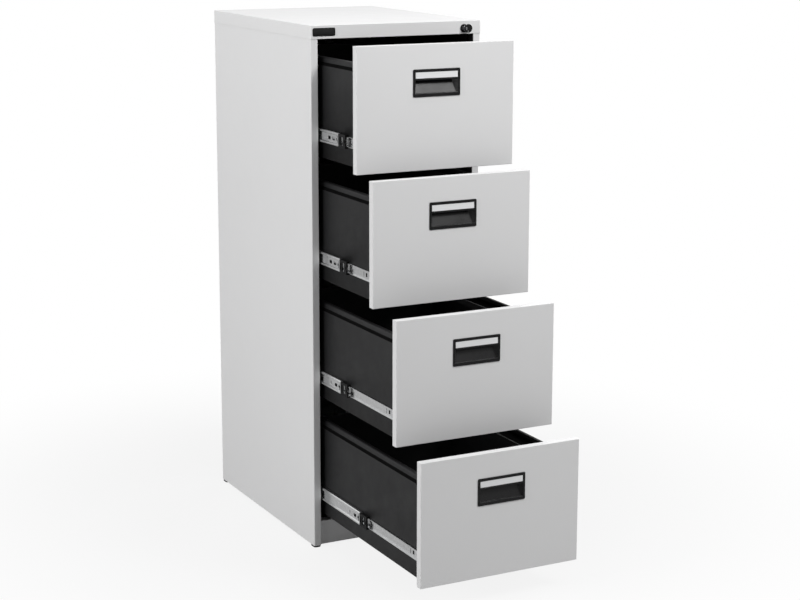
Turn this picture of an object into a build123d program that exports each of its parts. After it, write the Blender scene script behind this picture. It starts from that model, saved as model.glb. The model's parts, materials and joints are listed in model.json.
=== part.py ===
from build123d import *
import os

# A four-drawer vertical filing cabinet in sheet steel, drawers shown pulled out.
# X runs to the right, Y to the back, Z up. The origin is on the floor, in the
# middle of the cabinet's footprint. All sizes are in millimetres.

# Overall size, over the top cover
cabinet_w = 470.0
cabinet_d = 622.0
cabinet_h = 1321.0

# How far a cutting block runs past the surface that it cuts
past = 1.0

# Carcass
panel_gauge = 0.9
bend_r = 1.8
cover_fit = 0.2
cover_flange_h = 33.0
cover_corner_r = 2.5
post_w = 19.0
post_return = 24.0
rear_flange = 16.0
bottom_flange = 18.0
foot_h = 4.5
foot_w = 19.0
foot_l = 25.0
foot_corner = 4.0
foot_stud_r = 4.0
foot_stud_h = 6.0
foot_stud_fit = 0.1
foot_stud_sides = 6
plinth_recess = 7.0
plinth_top = 66.0
plinth_return = 26.0
rail_depth = 18.0
base_pan_rise = 14.0
back_bead_pitch = 120.0
back_bead_w = 12.0
back_bead_depth = 4.0
back_corner_fit = 0.2
base_pan_gap = 0.4
screw_head_r = 4.2
screw_head_h = 1.0
screw_shank_r = 1.9
screw_shank_l = 5.0
screw_rows = 3
screw_sides = 6
screw_bottom_set = 40.0
screw_top_set = 30.0

# Uprights that carry the slides
upright_w = 36.0
front_upright_set = 12.0
rear_upright_set = 42.0
upright_top_gap = 4.0

# Drawer fronts, which share the height between the cover and the plinth
drawer_count = 4
front_gap = 3.8
front_top_gap = 3.0
front_bottom_gap = 3.6
front_side_gap = 3.2
front_depth = 19.4
front_edge_r = 1.2
front_pan_fit = 0.3

# Trays
tray_rise = 14.5
tray_drop = 41.0
tray_rear_gap = 34.4
tray_gauge = 0.9
rim_w = 12.5
rim_band = 17.0
rim_step = 2.5
rim_lip = 9.0
rim_r = 5.0
rear_wall_drop = 6.0

# Hanging file bar
bar_from_wall = 330.0
bar_gauge = 3.0
bar_h = 14.0
bar_drop = 3.0
bar_slot_fit = 0.2
bar_overhang = 4.0

# Handles, measured down from the handle's top edge
handle_w = 127.0
handle_h = 66.0
handle_from_top = 58.9
handle_proud = 2.0
handle_lap = 4.0
handle_fit = 0.4
handle_corner_r = 3.0
handle_wall = 1.6
label_w = 114.0
label_h = 15.0
label_from_top = 7.0
label_recess = 1.2
card_gauge = 0.5
card_fit = 0.3
grip_bottom = 26.5
cup_bottom = 57.5
cup_side = 5.5
cup_depth = 16.0
cup_ledge = 4.0
cup_slope_h = 32.5
cup_head = 13.0
cup_end_draft = 10.5
grip_gauge = 4.5
scoop_r = 3.0

# Slides: widths run from the upright to the tray, heights from the slide's centre line.
# Sets run from the cabinet's front, and rear sets from the fixed member's rear end.
slide_w = 12.7
slide_set = 22.0
slide_rear_gap = 37.8
slide_rise = 71.5
slide_gauge = 1.2
outer_h = 45.7
outer_lip_w = 10.5
outer_lip = 3.0
middle_h = 33.6
middle_near = 2.3
middle_web = 4.8
middle_web_h = 19.0
middle_step = 2.0
middle_far = 11.0
middle_end_set = 38.0
stage_rear_set = 22.0
middle_slots = ((24.0, 38.0), (48.0, 62.0))
middle_slot_half = 4.0
stop_slot = (8.0, 12.0)
stop_slot_edge = 1.0
stop_notch = (12.0, 17.0)
stop_notch_half = 3.0
inner_h = 24.8
inner_near = 7.3
inner_set = 20.0
inner_slots = ((2.0, 10.0), (27.0, 35.0), (247.0, 255.0))
inner_slot_half = 4.5
inner_stop_slot = (44.0, 46.5)
inner_stop_half = 6.0
bumper_trim = 0.6
bumper_cuts = ((-1.0, 5.0, 4.0), (12.0, 26.0, 10.0), (31.0, 35.0, 9.0))
cage_gauge = 0.6
outer_cage_set = 195.0
outer_cage_rear_set = 197.0
outer_ball_r = 2.1
inner_cage_set = 225.0
inner_cage_rear_set = 207.0
inner_ball_r = 1.35
cage_gap = 0.35
balls_in_row = 2
ball_sides = 6

# How far each slide stage is pulled out at rest, top drawer first
middle_out = (167.0, 171.0, 173.0, 277.0)
drawer_out = (206.0, 291.0, 411.0, 534.0)

# Lock, key and lock bar
lock_from_side = 46.5
lock_from_top = 19.0
bezel_r = 10.5
bezel_h = 2.2
barrel_r = 8.2
barrel_sides = 12
barrel_l = 21.0
barrel_hole_fit = 0.2
plug_r = 6.0
plug_fit = 0.05
plug_proud = 0.4
plug_tail = 5.6
nut_r = 11.5
nut_h = 3.0
key_gauge = 2.0
key_blade_h = 7.0
key_blade_l = 20.0
key_neck = 9.0
key_fit = 0.15
key_bit = 2.0
key_bit_places = (5.0, 9.0, 13.0)
key_eye_r = 2.4
key_head_r = 10.8
key_head_gauge = 3.6
key_head_offset = 5.6
key_ring_r = 1.6
key_ring_drop = 7.2
key_fork_gap = 0.4
key_fork_fit = 0.2
key_pin_r = 0.9
key_pin_fit = 0.05
key_pin_end = 1.2
cam_gauge = 2.4
cam_arm = 10.0
cam_half_w = 4.5
cam_pin_r = 2.0
cam_gap = 0.4
bar_slot_play = 0.6
bar_slot_end = 1.0
bar_slot_wall = 3.0
lock_bar_w = 12.0
lock_bar_gauge = 2.5
lock_bar_set = 26.0
lock_bar_tail = 20.0
lock_bar_side = 4.0
hook_reach = 8.4
hook_h = 10.0
catch_rise = 60.0
catch_gap = 1.0
catch_gauge = 3.5
catch_reach = 9.0
guide_fit = 0.3
guide_h = 16.0
guide_gauge = 1.5
guide_count = 3

# Blank badge plate
badge_w = 60.0
badge_h = 20.0
badge_gauge = 1.2
badge_corner_r = 4.0
badge_from_side = 6.0

# Places worked out from the sizes above
body_w = cabinet_w - 2 * (panel_gauge + cover_fit)
body_d = cabinet_d - 2 * (panel_gauge + cover_fit)
body_top = cabinet_h - panel_gauge
front_y = -body_d / 2
back_y = body_d / 2
inside_x = body_w / 2 - panel_gauge
slide_x = body_w / 2 - post_w
cover_bottom = cabinet_h - cover_flange_h
front_w = 2 * (slide_x - front_side_gap)
first_top = cover_bottom - front_top_gap
fronts_h = first_top - plinth_top - front_bottom_gap
front_h = (fronts_h - (drawer_count - 1) * front_gap) / drawer_count
front_pitch = front_h + front_gap
tray_x = slide_x - slide_w
tray_h = front_h - tray_rise - tray_drop
tray_l = body_d - front_depth - tray_rear_gap
slide_l = body_d - slide_set - slide_rear_gap
stage_end = slide_set + slide_l - stage_rear_set
middle_l = stage_end - slide_set - middle_end_set
inner_l = stage_end - inner_set
outer_cage_l = slide_set + slide_l - outer_cage_rear_set - outer_cage_set
inner_cage_l = slide_set + slide_l - inner_cage_rear_set - inner_cage_set
pan_top = foot_h + base_pan_rise
lock_x = body_w / 2 - lock_from_side
lock_z = cabinet_h - lock_from_top
cam_travel = cam_arm * 2 ** 0.5


def drawer_bottom(index):
    """Height of a drawer front's bottom edge above the floor."""
    return first_top - index * front_pitch - front_h


def block(x, y, z):
    """A block between pairs of low and high values."""
    size = Box(x[1] - x[0], y[1] - y[0], z[1] - z[0])
    return Pos((x[0] + x[1]) / 2, (y[0] + y[1]) / 2, (z[0] + z[1]) / 2) * size


def face_of(outline, radii=None):
    """A closed face from corner points, with rounded corners where radii are given."""
    if radii is None:
        return make_face(Polyline(*outline, close=True))
    return make_face(FilletPolyline(*outline, radius=radii, close=True))


def along_x(face, x):
    """Runs a section drawn in Y and Z from one X to another."""
    return extrude(Plane.YZ.offset(x[0]) * face, x[1] - x[0])


def along_y(face, y):
    """Runs a section drawn in X and Z from one Y to another."""
    return extrude(Plane.XZ.offset(-y[1]) * face, y[1] - y[0])


def along_z(face, z):
    """Runs a section drawn in X and Y from one Z to another."""
    return extrude(Plane.XY.offset(z[0]) * face, z[1] - z[0])


def inner_skin(outer, gauge, side):
    """Points of a sheet's inner skin, one gauge away from its outer skin."""
    points = [Vector(*point) for point in outer]
    turn = 90 if side == Side.LEFT else -90
    normals = [
        (end - start).normalized().rotate(Axis.Z, turn)
        for start, end in zip(points, points[1:])
    ]
    inner = []
    for index, point in enumerate(points):
        before = normals[max(index - 1, 0)]
        after = normals[min(index, len(normals) - 1)]
        inner.append(point + (before + after) * (gauge / (1 + before.dot(after))))
    return inner


def folded(outer, gauge, side=Side.RIGHT, bends=(), radius=0):
    """The section of a folded sheet. The outer skin's points listed in bends are rounded."""
    inner = inner_skin(outer, gauge, side)
    section = make_face(Polyline(*outer, *reversed(inner), close=True))
    for bend in bends:
        section = rounded(section, outer[bend], radius)
        section = rounded(section, inner[bend], radius - gauge)
    return section


def rounded(section, corner, radius):
    """The section with the corner nearest to the given point rounded."""
    return fillet(section.vertices().sort_by_distance(corner)[0], radius)


def few_sided(radius, sides, length):
    """A short bar along Z with few sides, for what is small and repeated."""
    bar = extrude(RegularPolygon(radius, sides), length)
    return Pos(0, 0, -length / 2) * bar


def rounded_plate(width, height, radius):
    """A rectangle with rounded corners, centred on its own origin."""
    return RectangleRounded(width, height, radius)


def both_sides(part):
    """The part and its mirror image on the cabinet's other side."""
    return [part, mirror(part, about=Plane.YZ)]


def group(parts):
    """Separate solids kept together as one piece."""
    solids = []
    for part in parts:
        solids.extend(part.solids())
    return Compound(children=solids)


# Carcass

def side_panel_left():
    """Left side with the front post, its return, the rear flange and the bottom flange."""
    skin = [
        (-slide_x, front_y + post_return),
        (-slide_x, front_y),
        (-body_w / 2, front_y),
        (-body_w / 2, back_y),
        (-body_w / 2 + rear_flange, back_y),
    ]
    section = folded(skin, panel_gauge, bends=(1, 2), radius=bend_r)
    wall = along_z(section, (foot_h, body_top))
    flange = block(
        (-inside_x, -inside_x + bottom_flange - panel_gauge),
        (front_y + panel_gauge, back_y - panel_gauge),
        (foot_h, foot_h + panel_gauge),
    )
    panel = wall + flange
    stud_hole = few_sided(foot_stud_r + foot_stud_fit, foot_stud_sides, 4 * panel_gauge)
    for y in foot_rows():
        panel -= Pos(-foot_x(), y, foot_h) * stud_hole
    return panel


def top_cover():
    """Cap with turned-down edges that drops over the side and back panels."""
    cap = block(
        (-cabinet_w / 2, cabinet_w / 2),
        (-cabinet_d / 2, cabinet_d / 2),
        (cover_bottom, cabinet_h),
    )
    cap = fillet(cap.edges().filter_by(Axis.Z), cover_corner_r)
    hollow = block(
        (-cabinet_w / 2 + panel_gauge, cabinet_w / 2 - panel_gauge),
        (-cabinet_d / 2 + panel_gauge, cabinet_d / 2 - panel_gauge),
        (cover_bottom - past, body_top),
    )
    return cap - hollow - lock_hole()


def lock_hole():
    """The round hole that the lock passes through."""
    hole = Cylinder(barrel_r + barrel_hole_fit, 4 * panel_gauge + 2 * cover_fit)
    return Pos(lock_x, front_y, lock_z) * Rot(90, 0, 0) * hole


def top_front_rail():
    """Channel behind the cover's front edge, between the posts, that holds the lock."""
    skin = [
        (front_y + rail_depth, body_top),
        (front_y, body_top),
        (front_y, cover_bottom),
        (front_y + rail_depth, cover_bottom),
    ]
    section = folded(skin, panel_gauge, Side.LEFT)
    return along_x(section, (-slide_x, slide_x)) - lock_hole()


def plinth_panel():
    """Recessed front panel below the bottom drawer."""
    face_y = front_y + plinth_recess
    skin = [
        (face_y + plinth_return, plinth_top),
        (face_y, plinth_top),
        (face_y, foot_h),
        (face_y + post_return - plinth_recess, foot_h),
    ]
    section = folded(skin, panel_gauge, Side.LEFT, bends=(1,), radius=bend_r)
    return along_x(section, (-slide_x, slide_x))


def base_pan():
    """Bottom sheet on turned-down edges that stand on the side panels' flanges."""
    skin = [
        (-inside_x, foot_h + panel_gauge),
        (-inside_x, pan_top),
        (inside_x, pan_top),
        (inside_x, foot_h + panel_gauge),
    ]
    front = front_y + post_return + bend_r
    back = back_y - 2 * panel_gauge - back_bead_depth - base_pan_gap
    return along_y(folded(skin, panel_gauge), (front, back))


def back_panel():
    """Back sheet with pressed stiffening beads, held behind by the side flanges."""
    skin_y = back_y - panel_gauge
    half = back_bead_w / 2
    edge = inside_x - back_corner_fit
    skin = [(-edge, skin_y)]
    for place in (-back_bead_pitch, 0, back_bead_pitch):
        skin.append((place - half, skin_y))
        skin.append((place, skin_y - back_bead_depth))
        skin.append((place + half, skin_y))
    skin.append((edge, skin_y))
    return along_z(folded(skin, panel_gauge), (foot_h + panel_gauge, body_top))


def back_screws():
    """Pan head screws that hold the back panel to the side panels' rear flanges."""
    head = few_sided(screw_head_r, screw_sides, screw_head_h)
    shank = few_sided(screw_shank_r, screw_sides, screw_shank_l)
    shank = Pos(0, 0, -(screw_head_h + screw_shank_l) / 2) * shank
    screw = Rot(-90, 0, 0) * (head + shank)
    low = foot_h + screw_bottom_set
    high = cover_bottom - screw_top_set
    step = (high - low) / (screw_rows - 1)
    screws = []
    for row in range(screw_rows):
        place = Pos(body_w / 2 - rear_flange / 2, back_y + screw_head_h / 2, low + row * step)
        screws.extend(both_sides(place * screw))
    return group(screws)


def screw_holes():
    """The holes that the back screws pass through."""
    return [
        Pos(solid.center(CenterOf.BOUNDING_BOX)) * Rot(-90, 0, 0)
        * few_sided(screw_shank_r, screw_sides, 4 * screw_shank_l)
        for solid in back_screws().solids()
    ]


def slide_uprights():
    """Four channels, open to the side panels, that the slides are riveted to."""
    channels = []
    for start in (
        front_y + post_return + front_upright_set,
        back_y - rear_upright_set - upright_w,
    ):
        skin = [
            (inside_x, start),
            (slide_x, start),
            (slide_x, start + upright_w),
            (inside_x, start + upright_w),
        ]
        section = folded(skin, panel_gauge)
        channels.extend(both_sides(along_z(section, (pan_top, body_top - upright_top_gap))))
    return group(channels)


def foot_x():
    """X of the right-hand feet."""
    return (body_w - foot_w) / 2


def foot_rows():
    """Y of the front and the rear feet."""
    return (front_y + foot_l / 2, back_y - foot_l / 2)


def corner_feet():
    """Plastic pads under the corners, each with a stud through the bottom flange."""
    pad = along_z(Rectangle(foot_w, foot_l), (0, foot_h))
    pad = chamfer(pad.edges().filter_by(Axis.Z), foot_corner)
    stud = few_sided(foot_stud_r, foot_stud_sides, foot_stud_h)
    stud = Pos(0, 0, foot_h + foot_stud_h / 2) * stud
    feet = []
    for y in foot_rows():
        feet.extend(both_sides(Pos(foot_x(), y, 0) * (pad + stud)))
    return group(feet)


def badge_plate():
    """Plain plate on the cover's front edge, left bare."""
    plate = rounded_plate(badge_w, badge_h, badge_corner_r)
    centre_x = -cabinet_w / 2 + badge_from_side + badge_w / 2
    centre_z = (cabinet_h + cover_bottom) / 2
    skin_y = -cabinet_d / 2
    return Pos(centre_x, 0, centre_z) * along_y(plate, (skin_y - badge_gauge, skin_y))


# Lock

def lock_disc(radius, y):
    """A round bar along Y on the lock's centre line."""
    disc = Rot(90, 0, 0) * Cylinder(radius, y[1] - y[0])
    return Pos(lock_x, (y[0] + y[1]) / 2, lock_z) * disc


bezel_back = -cabinet_d / 2
bezel_front = bezel_back - bezel_h
barrel_back = bezel_back + barrel_l
cam_front = barrel_back + cam_gap
cam_back = cam_front + cam_gauge


def lock_barrel(radius, y):
    """A bar along Y on the lock's centre line with the barrel's flat sides."""
    outline = RegularPolygon(radius, barrel_sides)
    return Pos(lock_x, 0, lock_z) * along_y(outline, y)


def lock_housing():
    """Barrel with its round bezel, bored for the plug."""
    bezel = lock_disc(bezel_r, (bezel_front, bezel_back))
    body = bezel + lock_barrel(barrel_r, (bezel_back, barrel_back))
    return body - lock_disc(plug_r + plug_fit, (bezel_front - past, barrel_back + past))


def lock_nut():
    """Hexagon nut that clamps the lock behind the rail."""
    start = front_y + panel_gauge
    outline = RegularPolygon(nut_r, 6)
    nut = Pos(lock_x, 0, lock_z) * along_y(outline, (start, start + nut_h))
    return nut - lock_barrel(barrel_r, (start - past, start + nut_h + past))


def cam_place(part):
    """Turns a piece drawn along X to the unlocked cam's direction, on the lock's centre line."""
    return Pos(lock_x, 0, lock_z) * Rot(0, -45, 0) * part


def lock_plug():
    """Turning plug with the keyway and a square tail for the cam."""
    front = bezel_front - plug_proud
    plug = lock_disc(plug_r, (front, barrel_back + cam_gap / 2))
    tail = cam_place(along_y(Rectangle(plug_tail, plug_tail), (barrel_back, cam_back)))
    keyway = block(
        (lock_x - key_gauge / 2 - key_fit, lock_x + key_gauge / 2 + key_fit),
        (front - past, front + key_blade_l + key_fit),
        (lock_z - key_blade_h / 2 - key_fit, lock_z + key_blade_h / 2 + key_fit),
    )
    return plug + tail - keyway


def lock_cam():
    """Arm on the plug's tail, with the pin that lifts and drops the lock bar."""
    outline = Rectangle(cam_arm + 2 * cam_half_w, 2 * cam_half_w)
    arm = along_y(Pos(cam_arm / 2, 0) * outline, (cam_front, cam_back))
    arm = chamfer(arm.edges().filter_by(Axis.Y), cam_half_w / 2)
    pin = Pos(cam_arm, 0, 0) * along_y(Circle(cam_pin_r), (cam_back, lock_bar_back()))
    hole = plug_tail + 2 * plug_fit
    bore = along_y(Rectangle(hole, hole), (cam_front - past, cam_back + past))
    return cam_place(arm + pin - bore)


def lock_bar_back():
    """The Y of the lock bar's rear face."""
    return front_y + lock_bar_set + lock_bar_gauge


def key():
    """Key blade in the plug, with the eye that its folding head turns on."""
    blade = block(
        (-key_gauge / 2, key_gauge / 2),
        (bezel_front - plug_proud - key_neck, bezel_front - plug_proud + key_blade_l),
        (-key_blade_h / 2, key_blade_h / 2),
    )
    bit = Rot(45, 0, 0) * Box(2 * key_gauge, key_bit, key_bit)
    for place in key_bit_places:
        blade -= Pos(0, bezel_front + place, -key_blade_h / 2) * bit
    hinge = Pos(0, key_hinge_y(), 0)
    eye = hinge * Cylinder(key_eye_r, key_blade_h)
    bore = hinge * Cylinder(key_pin_r + key_pin_fit, 2 * key_blade_h)
    return Pos(lock_x, 0, lock_z) * (blade + eye - bore)


def key_hinge_y():
    """The Y of the pin that the key's head folds on."""
    return bezel_front - plug_proud - key_neck - key_eye_r / 2


def key_head():
    """Round moulded head, folded to the right, forked over the key's eye, with its pin."""
    front = key_hinge_y() - key_head_gauge / 2
    disc = along_y(Circle(key_head_r), (front, front + key_head_gauge))
    through = (front - past, front + key_head_gauge + past)
    disc -= Pos(0, 0, -key_ring_drop) * along_y(Circle(key_ring_r), through)
    disc = Pos(key_head_offset, 0, 0) * disc
    fork = block(
        (-key_head_r, key_eye_r + key_fork_gap),
        through,
        (-key_blade_h / 2 - key_fork_fit, key_blade_h / 2 + key_fork_fit),
    )
    pin = Cylinder(key_pin_r, key_blade_h + 2 * key_pin_end)
    return Pos(lock_x, 0, lock_z) * (disc - fork + Pos(0, key_hinge_y(), 0) * pin)


def hook_height(index):
    """Centre height of a drawer's lock catch."""
    return drawer_bottom(index) + slide_rise + catch_rise


def lock_bar():
    """Flat bar behind the right post, with a welded hook for each drawer and a slotted head."""
    y = (front_y + lock_bar_set, lock_bar_back())
    inner = slide_x + lock_bar_side
    outer = min(inner + lock_bar_w, inside_x - guide_fit)
    pin_top = lock_z + cam_travel / 2
    hooks = [hook_height(index) + cam_travel for index in range(drawer_count)]
    bottom = hooks[-1] - hook_h / 2 - lock_bar_tail
    pieces = [block((inner, outer), y, (bottom, pin_top + cam_half_w))]
    for height in hooks:
        pieces.append(block(
            (slide_x - hook_reach, inner),
            y,
            (height - hook_h / 2, height + hook_h / 2),
        ))
    low = lock_x + cam_arm / 2 ** 0.5 - cam_pin_r - bar_slot_end
    high = lock_x + cam_arm + cam_pin_r + bar_slot_end
    half = cam_pin_r + bar_slot_play
    head = block(
        (low - bar_slot_wall, inner),
        y,
        (pin_top - cam_half_w, pin_top + cam_half_w),
    )
    head -= block((low, high), (y[0] - past, y[1] + past), (pin_top - half, pin_top + half))
    return group(pieces + [head])


def lock_bar_guides():
    """Staples on the right front upright that the lock bar slides in."""
    y_bar = lock_bar_back()
    y_end = front_y + post_return + front_upright_set
    inner = slide_x + lock_bar_side
    outer = min(inner + lock_bar_w, inside_x - guide_fit)
    guides = []
    for place in range(guide_count):
        height = drawer_bottom(place) - front_gap / 2
        staple = block(
            (inner - guide_fit - guide_gauge, outer - guide_fit),
            (y_bar + guide_fit, y_end),
            (height - guide_h / 2, height + guide_h / 2),
        )
        cheek = block(
            (inner - guide_fit - guide_gauge, inner - guide_fit),
            (y_bar - lock_bar_gauge - guide_gauge, y_end),
            (height - guide_h / 2, height + guide_h / 2),
        )
        guides.append(staple + cheek)
    return group(guides)


# Slides, built for the right side in the closed position, on a centre line at height 0

def slide_path(points):
    """Turns widths and heights of a slide's section into X and Z on the right side."""
    return [(slide_x - width, height) for width, height in points]


def outer_member():
    """Fixed channel of the slide, with lips that keep the balls in."""
    half = outer_h / 2
    skin = slide_path([
        (outer_lip_w, half - outer_lip),
        (outer_lip_w, half),
        (0, half),
        (0, -half),
        (outer_lip_w, -half),
        (outer_lip_w, -half + outer_lip),
    ])
    start = front_y + slide_set
    return along_y(folded(skin, slide_gauge), (start, start + slide_l))


def across_web(web, start, slot, half):
    """The cutter for a slot in a member's web, with its ends measured from the member's end."""
    return block(web, (start + slot[0], start + slot[1]), (-half, half))


def middle_member():
    """Middle channel: a sunk web between two raised ball races, with its end stops."""
    half = middle_h / 2
    web_half = middle_web_h / 2
    start = front_y + slide_set + middle_end_set
    skin = slide_path([
        (middle_far, half),
        (middle_near + middle_step, half),
        (middle_near, half - middle_step),
        (middle_near, web_half + middle_step),
        (middle_web, web_half),
        (middle_web, -web_half),
        (middle_near, -web_half - middle_step),
        (middle_near, -half + middle_step),
        (middle_near + middle_step, -half),
        (middle_far, -half),
    ])
    channel = along_y(folded(skin, slide_gauge), (start, start + middle_l))
    web = (slide_x - middle_web - 2 * slide_gauge, slide_x - middle_web + slide_gauge)
    for slot in middle_slots:
        channel -= across_web(web, start, slot, middle_slot_half)
    channel -= across_web(web, start, stop_slot, web_half - stop_slot_edge)
    return channel - across_web(web, start, stop_notch, stop_notch_half)


def inner_member():
    """Channel on the drawer's side, with its fixing slots near the front."""
    half = inner_h / 2
    skin = slide_path([
        (inner_near, half),
        (slide_w, half),
        (slide_w, -half),
        (inner_near, -half),
    ])
    start = front_y + inner_set
    channel = along_y(folded(skin, slide_gauge, Side.LEFT), (start, start + inner_l))
    web = (tray_x - past, tray_x + slide_gauge + past)
    for slot in inner_slots:
        channel -= across_web(web, start, slot, inner_slot_half)
    return channel - across_web(web, start, inner_stop_slot, inner_stop_half)


def slide_bumper():
    """Moulded stop on the middle member's front end, round the inner member."""
    half = middle_h / 2
    start = front_y + slide_set
    end = start + middle_end_set
    arm = half - bumper_trim
    gap = inner_h / 2 + bumper_trim
    plate_near = slide_x - middle_near
    plate_far = slide_x - middle_web - slide_gauge
    body = block((plate_far, plate_near), (start, end), (-arm, arm))
    for sign in (1, -1):
        edge = sorted((sign * gap, sign * arm))
        body += block((slide_x - middle_far, plate_near), (start, end), edge)
    for low, high, tall in bumper_cuts:
        body -= across_web((plate_far - past, plate_near + past), start, (low, high), tall)
    return body


def faceted_ball(radius):
    """A bearing ball with few faces, across the slide."""
    return Rot(0, 90, 0) * few_sided(radius, ball_sides, 2 * radius)


def ball_cage(start, length, web_near, race_far, race_h, ball_r, ball_w):
    """Thin channel that keeps two rows of balls spaced, one row in each race."""
    skin = slide_path([
        (race_far, race_h + cage_gauge / 2),
        (web_near, race_h + cage_gauge / 2),
        (web_near, -race_h - cage_gauge / 2),
        (race_far, -race_h - cage_gauge / 2),
    ])
    cage = along_y(folded(skin, cage_gauge), (start, start + length))
    step = length / balls_in_row
    for place in range(balls_in_row):
        for height in (race_h, -race_h):
            centre = Pos(slide_x - ball_w, start + (place + 0.5) * step, height)
            cage += centre * faceted_ball(ball_r)
    return cage


def outer_cage():
    """Ball cage between the fixed and the middle members."""
    race_h = (outer_h / 2 - slide_gauge + middle_h / 2) / 2
    near = (slide_gauge + middle_near - cage_gauge) / 2
    far = outer_lip_w - slide_gauge - cage_gap
    start = front_y + outer_cage_set
    across = (near + far) / 2
    return ball_cage(start, outer_cage_l, near, far, race_h, outer_ball_r, across)


def inner_cage():
    """Ball cage between the middle and the inner members."""
    race_h = (middle_h / 2 - slide_gauge + inner_h / 2) / 2
    near = middle_web + slide_gauge + cage_gap
    far = slide_w - slide_gauge - cage_gap
    start = front_y + inner_cage_set
    across = (near + far) / 2
    return ball_cage(start, inner_cage_l, near, far, race_h, inner_ball_r, across)


# Drawer pieces, built closed, with heights from the drawer front's bottom edge

def front_pan():
    """Painted front: face sheet with four turned-back edges and the handle's cut-out."""
    pan = block(
        (-front_w / 2, front_w / 2),
        (front_y, front_y + front_depth),
        (0, front_h),
    )
    pan = fillet(pan.faces().sort_by(Axis.Y)[0].edges(), front_edge_r)
    hollow = block(
        (-front_w / 2 + panel_gauge, front_w / 2 - panel_gauge),
        (front_y + panel_gauge, front_y + front_depth + past),
        (panel_gauge, front_h - panel_gauge),
    )
    return pan - hollow - handle_opening()


def handle_opening():
    """Cut-out in the front for the handle's cup."""
    half_w = handle_w / 2 - handle_lap
    top = front_h - handle_from_top
    return block(
        (-half_w, half_w),
        (front_y - past, front_y + 2 * panel_gauge),
        (top - handle_h + handle_lap, top - handle_lap),
    )


def cup_section(grow):
    """Side view of the finger cup, grown by a wall: depth and height from the handle's top."""
    return [
        (-handle_proud - past, -grip_bottom + grow),
        (-handle_proud - past, -cup_bottom - grow),
        (cup_ledge + grow, -cup_bottom - grow),
        (cup_depth + grow, -cup_bottom + cup_slope_h - grow),
        (cup_depth + grow, -cup_head + grow),
        (grip_gauge - grow, -cup_head + grow),
        (grip_gauge - grow, -grip_bottom + grow),
    ]


def cup_plan(grow):
    """Plan of the finger cup, narrower at the back, grown by a wall."""
    mouth = handle_w / 2 - cup_side + grow
    back = mouth - cup_end_draft
    return [
        (-mouth, -handle_proud - past),
        (mouth, -handle_proud - past),
        (mouth, 0),
        (back, cup_depth + grow),
        (-back, cup_depth + grow),
        (-mouth, 0),
    ]


def cup_form(grow, reach):
    """The finger cup's space, or its outside where grown by the wall."""
    side = along_x(face_of(cup_section(grow)), (-reach, reach))
    if grow == 0:
        corners = side.edges().filter_by(Axis.X).sort_by(Axis.Y)[-2:]
        side = fillet(corners, scoop_r)
    plan = along_z(face_of(cup_plan(grow)), (-handle_h, handle_h))
    return side & plan


def handle_place(part):
    """Puts a piece drawn at the handle's top and the front's face where it belongs."""
    return Pos(0, front_y, front_h - handle_from_top) * part


def handle():
    """Moulded handle: frame, label recess, grip edge and the scooped finger cup."""
    frame = rounded_plate(handle_w, handle_h, handle_corner_r)
    frame = Pos(0, 0, -handle_h / 2) * along_y(frame, (-handle_proud, 0))
    half = handle_w / 2
    grip = block(
        (-half + handle_lap + handle_fit, half - handle_lap - handle_fit),
        (0, grip_gauge),
        (-grip_bottom, -handle_lap - handle_fit),
    )
    shell = cup_form(handle_wall, half)
    shell &= block(
        (-half + handle_lap + handle_fit, half - handle_lap - handle_fit),
        (-handle_proud, cup_depth + 2 * handle_wall),
        (-handle_h + handle_lap + handle_fit, -handle_lap - handle_fit),
    )
    body = frame + grip + shell - cup_form(0, half)
    label = block(
        (-label_w / 2, label_w / 2),
        (-handle_proud - past, -handle_proud + label_recess),
        (-label_from_top - label_h, -label_from_top),
    )
    return handle_place(body - label)


def label_card():
    """Card strip in the handle's label recess."""
    floor_y = -handle_proud + label_recess
    card = block(
        (-label_w / 2 + card_fit, label_w / 2 - card_fit),
        (floor_y - card_gauge, floor_y),
        (-label_from_top - label_h + card_fit, -label_from_top - card_fit),
    )
    return handle_place(card)


def tray_section():
    """Cross-section of the tray: floor, side walls and the rolled top rims."""
    top = tray_rise + tray_h
    right = [
        (tray_x, tray_rise),
        (tray_x, top - rim_band - rim_step),
        (tray_x - rim_step, top - rim_band),
        (tray_x - rim_step, top),
        (tray_x - rim_step - rim_w, top),
        (tray_x - rim_step - rim_w, top - rim_lip),
    ]
    left = [(-across, height) for across, height in reversed(right)]
    rims = (2, len(left + right) - 3)
    return folded(left + right, tray_gauge, Side.LEFT, bends=rims, radius=rim_r)


def tray():
    """Tray: folded floor and sides, welded rear wall and inner front plate, and a lock catch."""
    start = front_y + front_depth
    top = tray_rise + tray_h
    wall_x = tray_x - tray_gauge
    body = along_y(tray_section(), (start, start + tray_l))
    rear = block(
        (-wall_x, wall_x),
        (start + tray_l - tray_gauge, start + tray_l),
        (tray_rise + tray_gauge, top - rim_band - rim_step - rear_wall_drop),
    )
    narrow = wall_x - rim_step - rim_w - tray_gauge
    rear += block(
        (-narrow, narrow),
        (start + tray_l - tray_gauge, start + tray_l),
        (tray_rise + tray_h / 2, top - bar_drop),
    )
    inset = panel_gauge + front_pan_fit
    plate = block(
        (-front_w / 2 + inset, front_w / 2 - inset),
        (start - tray_gauge, start),
        (inset, front_h - inset),
    )
    slot_x = file_bar_x()
    half = bar_gauge / 2 + bar_slot_fit
    slot = block(
        (slot_x - half, slot_x + half),
        (start - 2 * tray_gauge, start + tray_l + tray_gauge),
        (top - bar_drop - bar_h - bar_slot_fit, top - bar_drop + bar_slot_fit),
    )
    catch_z = slide_rise + catch_rise
    catch_y = lock_bar_back() + catch_gap
    catch = block(
        (tray_x, tray_x + catch_reach),
        (catch_y, catch_y + catch_gauge),
        (catch_z - hook_h / 2, catch_z + hook_h / 2),
    )
    return group([body + rear + plate - slot, catch])


def file_bar_x():
    """X of the bar that hanging files hook on, a file's width from the left rim."""
    return -(tray_x - rim_step - rim_w / 2) + bar_from_wall


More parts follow.
